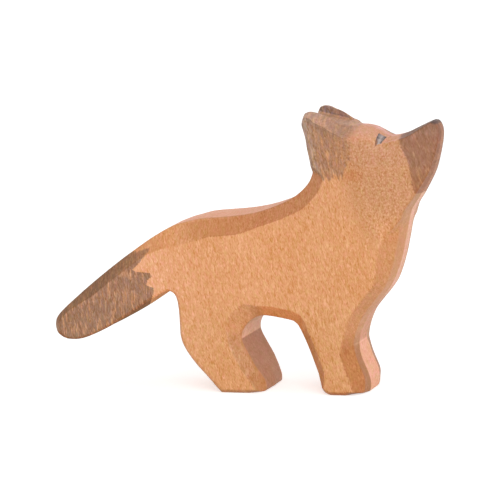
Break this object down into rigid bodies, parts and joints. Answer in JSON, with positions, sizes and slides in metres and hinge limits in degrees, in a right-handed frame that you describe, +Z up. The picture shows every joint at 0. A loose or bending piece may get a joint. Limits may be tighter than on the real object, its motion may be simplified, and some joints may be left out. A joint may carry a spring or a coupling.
{
  "type": "dog figurine",
  "caption": "Standing wooden dog with raised head, upright ears and a long lowered tail, carved from a board, with brown stained tail, ears and muzzle; a toy or ornament.",
  "frame": {"origin": "on the floor, under the middle of the dog's length and of the board's thickness", "axes": "+X towards the dog's nose, +Y towards its left side across the board, +Z up"},
  "size_m": [0.1142, 0.024, 0.08],
  "materials": {
    "bare_wood": "sanded close-grained hardwood with fine ray flecks, oiled, satin",
    "stained_wood": "the same wood with a thin brushed brown stain, satin",
    "eye_paint": "small brushed mark of matt blue-grey paint on wood"
  },
  "bodies": {
    "root": {"carved_body": "bare_wood", "tail_brush": "stained_wood", "right_ear": "stained_wood", "left_ear": "stained_wood", "muzzle": "stained_wood", "right_eye": "eye_paint", "left_eye": "eye_paint"}
  },
  "joints": []
}
